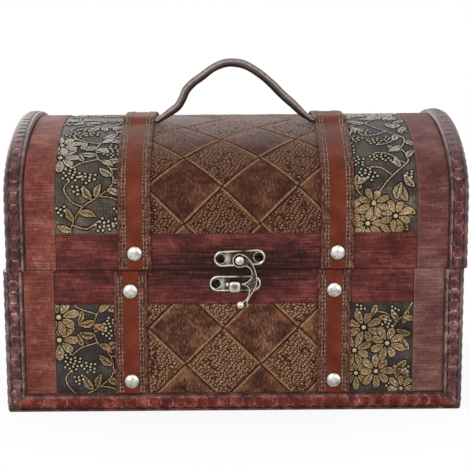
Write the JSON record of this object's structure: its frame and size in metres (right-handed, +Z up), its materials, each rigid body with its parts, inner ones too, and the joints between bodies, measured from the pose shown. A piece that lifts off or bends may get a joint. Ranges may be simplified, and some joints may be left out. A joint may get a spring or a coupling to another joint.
{
  "type": "storage box",
  "caption": "Domed wooden keepsake box with a hinged barrel-top lid, swing hook latch, rolled leather handle, leather straps, embossed leather panels and edge trims.",
  "frame": {"origin": "middle of the tray's underside, on the surface that the box stands on", "axes": "+X to the box's right as seen from its front, +Y to its back, +Z up"},
  "size_m": [0.2516, 0.1812, 0.1898],
  "materials": {
    "board": "bare light board, matte",
    "batten": "red-brown stained veneer, semi-gloss",
    "lattice_leather": "embossed diamond lattice, rubbed highlights",
    "floral_leather": "embossed floral pattern with gold rub on a pewter ground",
    "trim_leather": "maroon, embossed beads",
    "strap_leather": "tan-red with stitched edges",
    "handle_leather": "dark rolled leather, satin",
    "nickel": "polished nickel",
    "aged_silver": "antiqued silver plating",
    "aged_brass": "antiqued brass plating"
  },
  "bodies": {
    "tray": {"tray_floor": "board", "tray_front_wall": "board", "tray_back_wall": "board", "tray_left_wall": "board", "tray_right_wall": "board", "tray_front_stile_left": "batten", "tray_front_stile_right": "batten", "tray_front_rail": "batten", "tray_front_floral_panel_left": "floral_leather", "tray_front_lattice_panel": "lattice_leather", "tray_front_floral_panel_right": "floral_leather", "tray_back_rail": "batten", "tray_back_panel": "lattice_leather", "tray_left_panel": "lattice_leather", "tray_right_panel": "lattice_leather", "corner_trim_front_left": "trim_leather", "corner_trim_front_right": "trim_leather", "corner_trim_back_left": "trim_leather", "corner_trim_back_right": "trim_leather", "bottom_trim_front": "trim_leather", "bottom_trim_back": "trim_leather", "bottom_trim_left": "trim_leather", "bottom_trim_right": "trim_leather", "tray_front_strap_left": "strap_leather", "tray_front_strap_right": "strap_leather", "tray_back_strap_left": "strap_leather", "tray_back_strap_right": "strap_leather", "tray_rivet_upper_left": "nickel", "tray_rivet_upper_right": "nickel", "tray_rivet_lower_left": "nickel", "tray_rivet_lower_right": "nickel", "catch_plate": "aged_silver", "hinge_tray_leaf_left": "aged_brass", "hinge_tray_leaf_right": "aged_brass", "hinge_pin_left": "aged_brass", "hinge_pin_right": "aged_brass"},
    "lid": {"lid_shell": "board", "lid_left_end": "board", "lid_right_end": "board", "lid_front_rail": "batten", "lid_back_rail": "batten", "lid_band_left": "batten", "lid_band_right": "batten", "lid_floral_panel_left": "floral_leather", "lid_lattice_panel": "lattice_leather", "lid_floral_panel_right": "floral_leather", "lid_left_end_panel": "lattice_leather", "lid_right_end_panel": "lattice_leather", "lid_arch_trim_left": "trim_leather", "lid_arch_trim_right": "trim_leather", "lid_strap_left": "strap_leather", "lid_strap_right": "strap_leather", "lid_rivet_left": "nickel", "lid_rivet_right": "nickel", "hook_plate": "aged_silver", "hinge_lid_leaf_left": "aged_brass", "hinge_lid_leaf_right": "aged_brass"},
    "latch_hook": {"latch_hook": "aged_silver"},
    "handle": {"handle": "handle_leather"}
  },
  "joints": [
    {"name": "lid_hinge", "type": "hinge", "parent": "tray", "child": "lid", "pos_m": [0, 0.0865, 0.0797], "axis": [-1, 0, 0], "range_deg": [0, 105]},
    {"name": "latch_swing", "type": "hinge", "parent": "lid", "child": "latch_hook", "pos_m": [0.0031, -0.08685, 0.0852], "axis": [0, -1, 0], "range_deg": [-7, 110]},
    {"name": "handle_swing", "type": "hinge", "parent": "lid", "child": "handle", "pos_m": [0.00125, -0.024, 0.15406], "axis": [1, 0, 0], "range_deg": [-65, 85]}
  ]
}
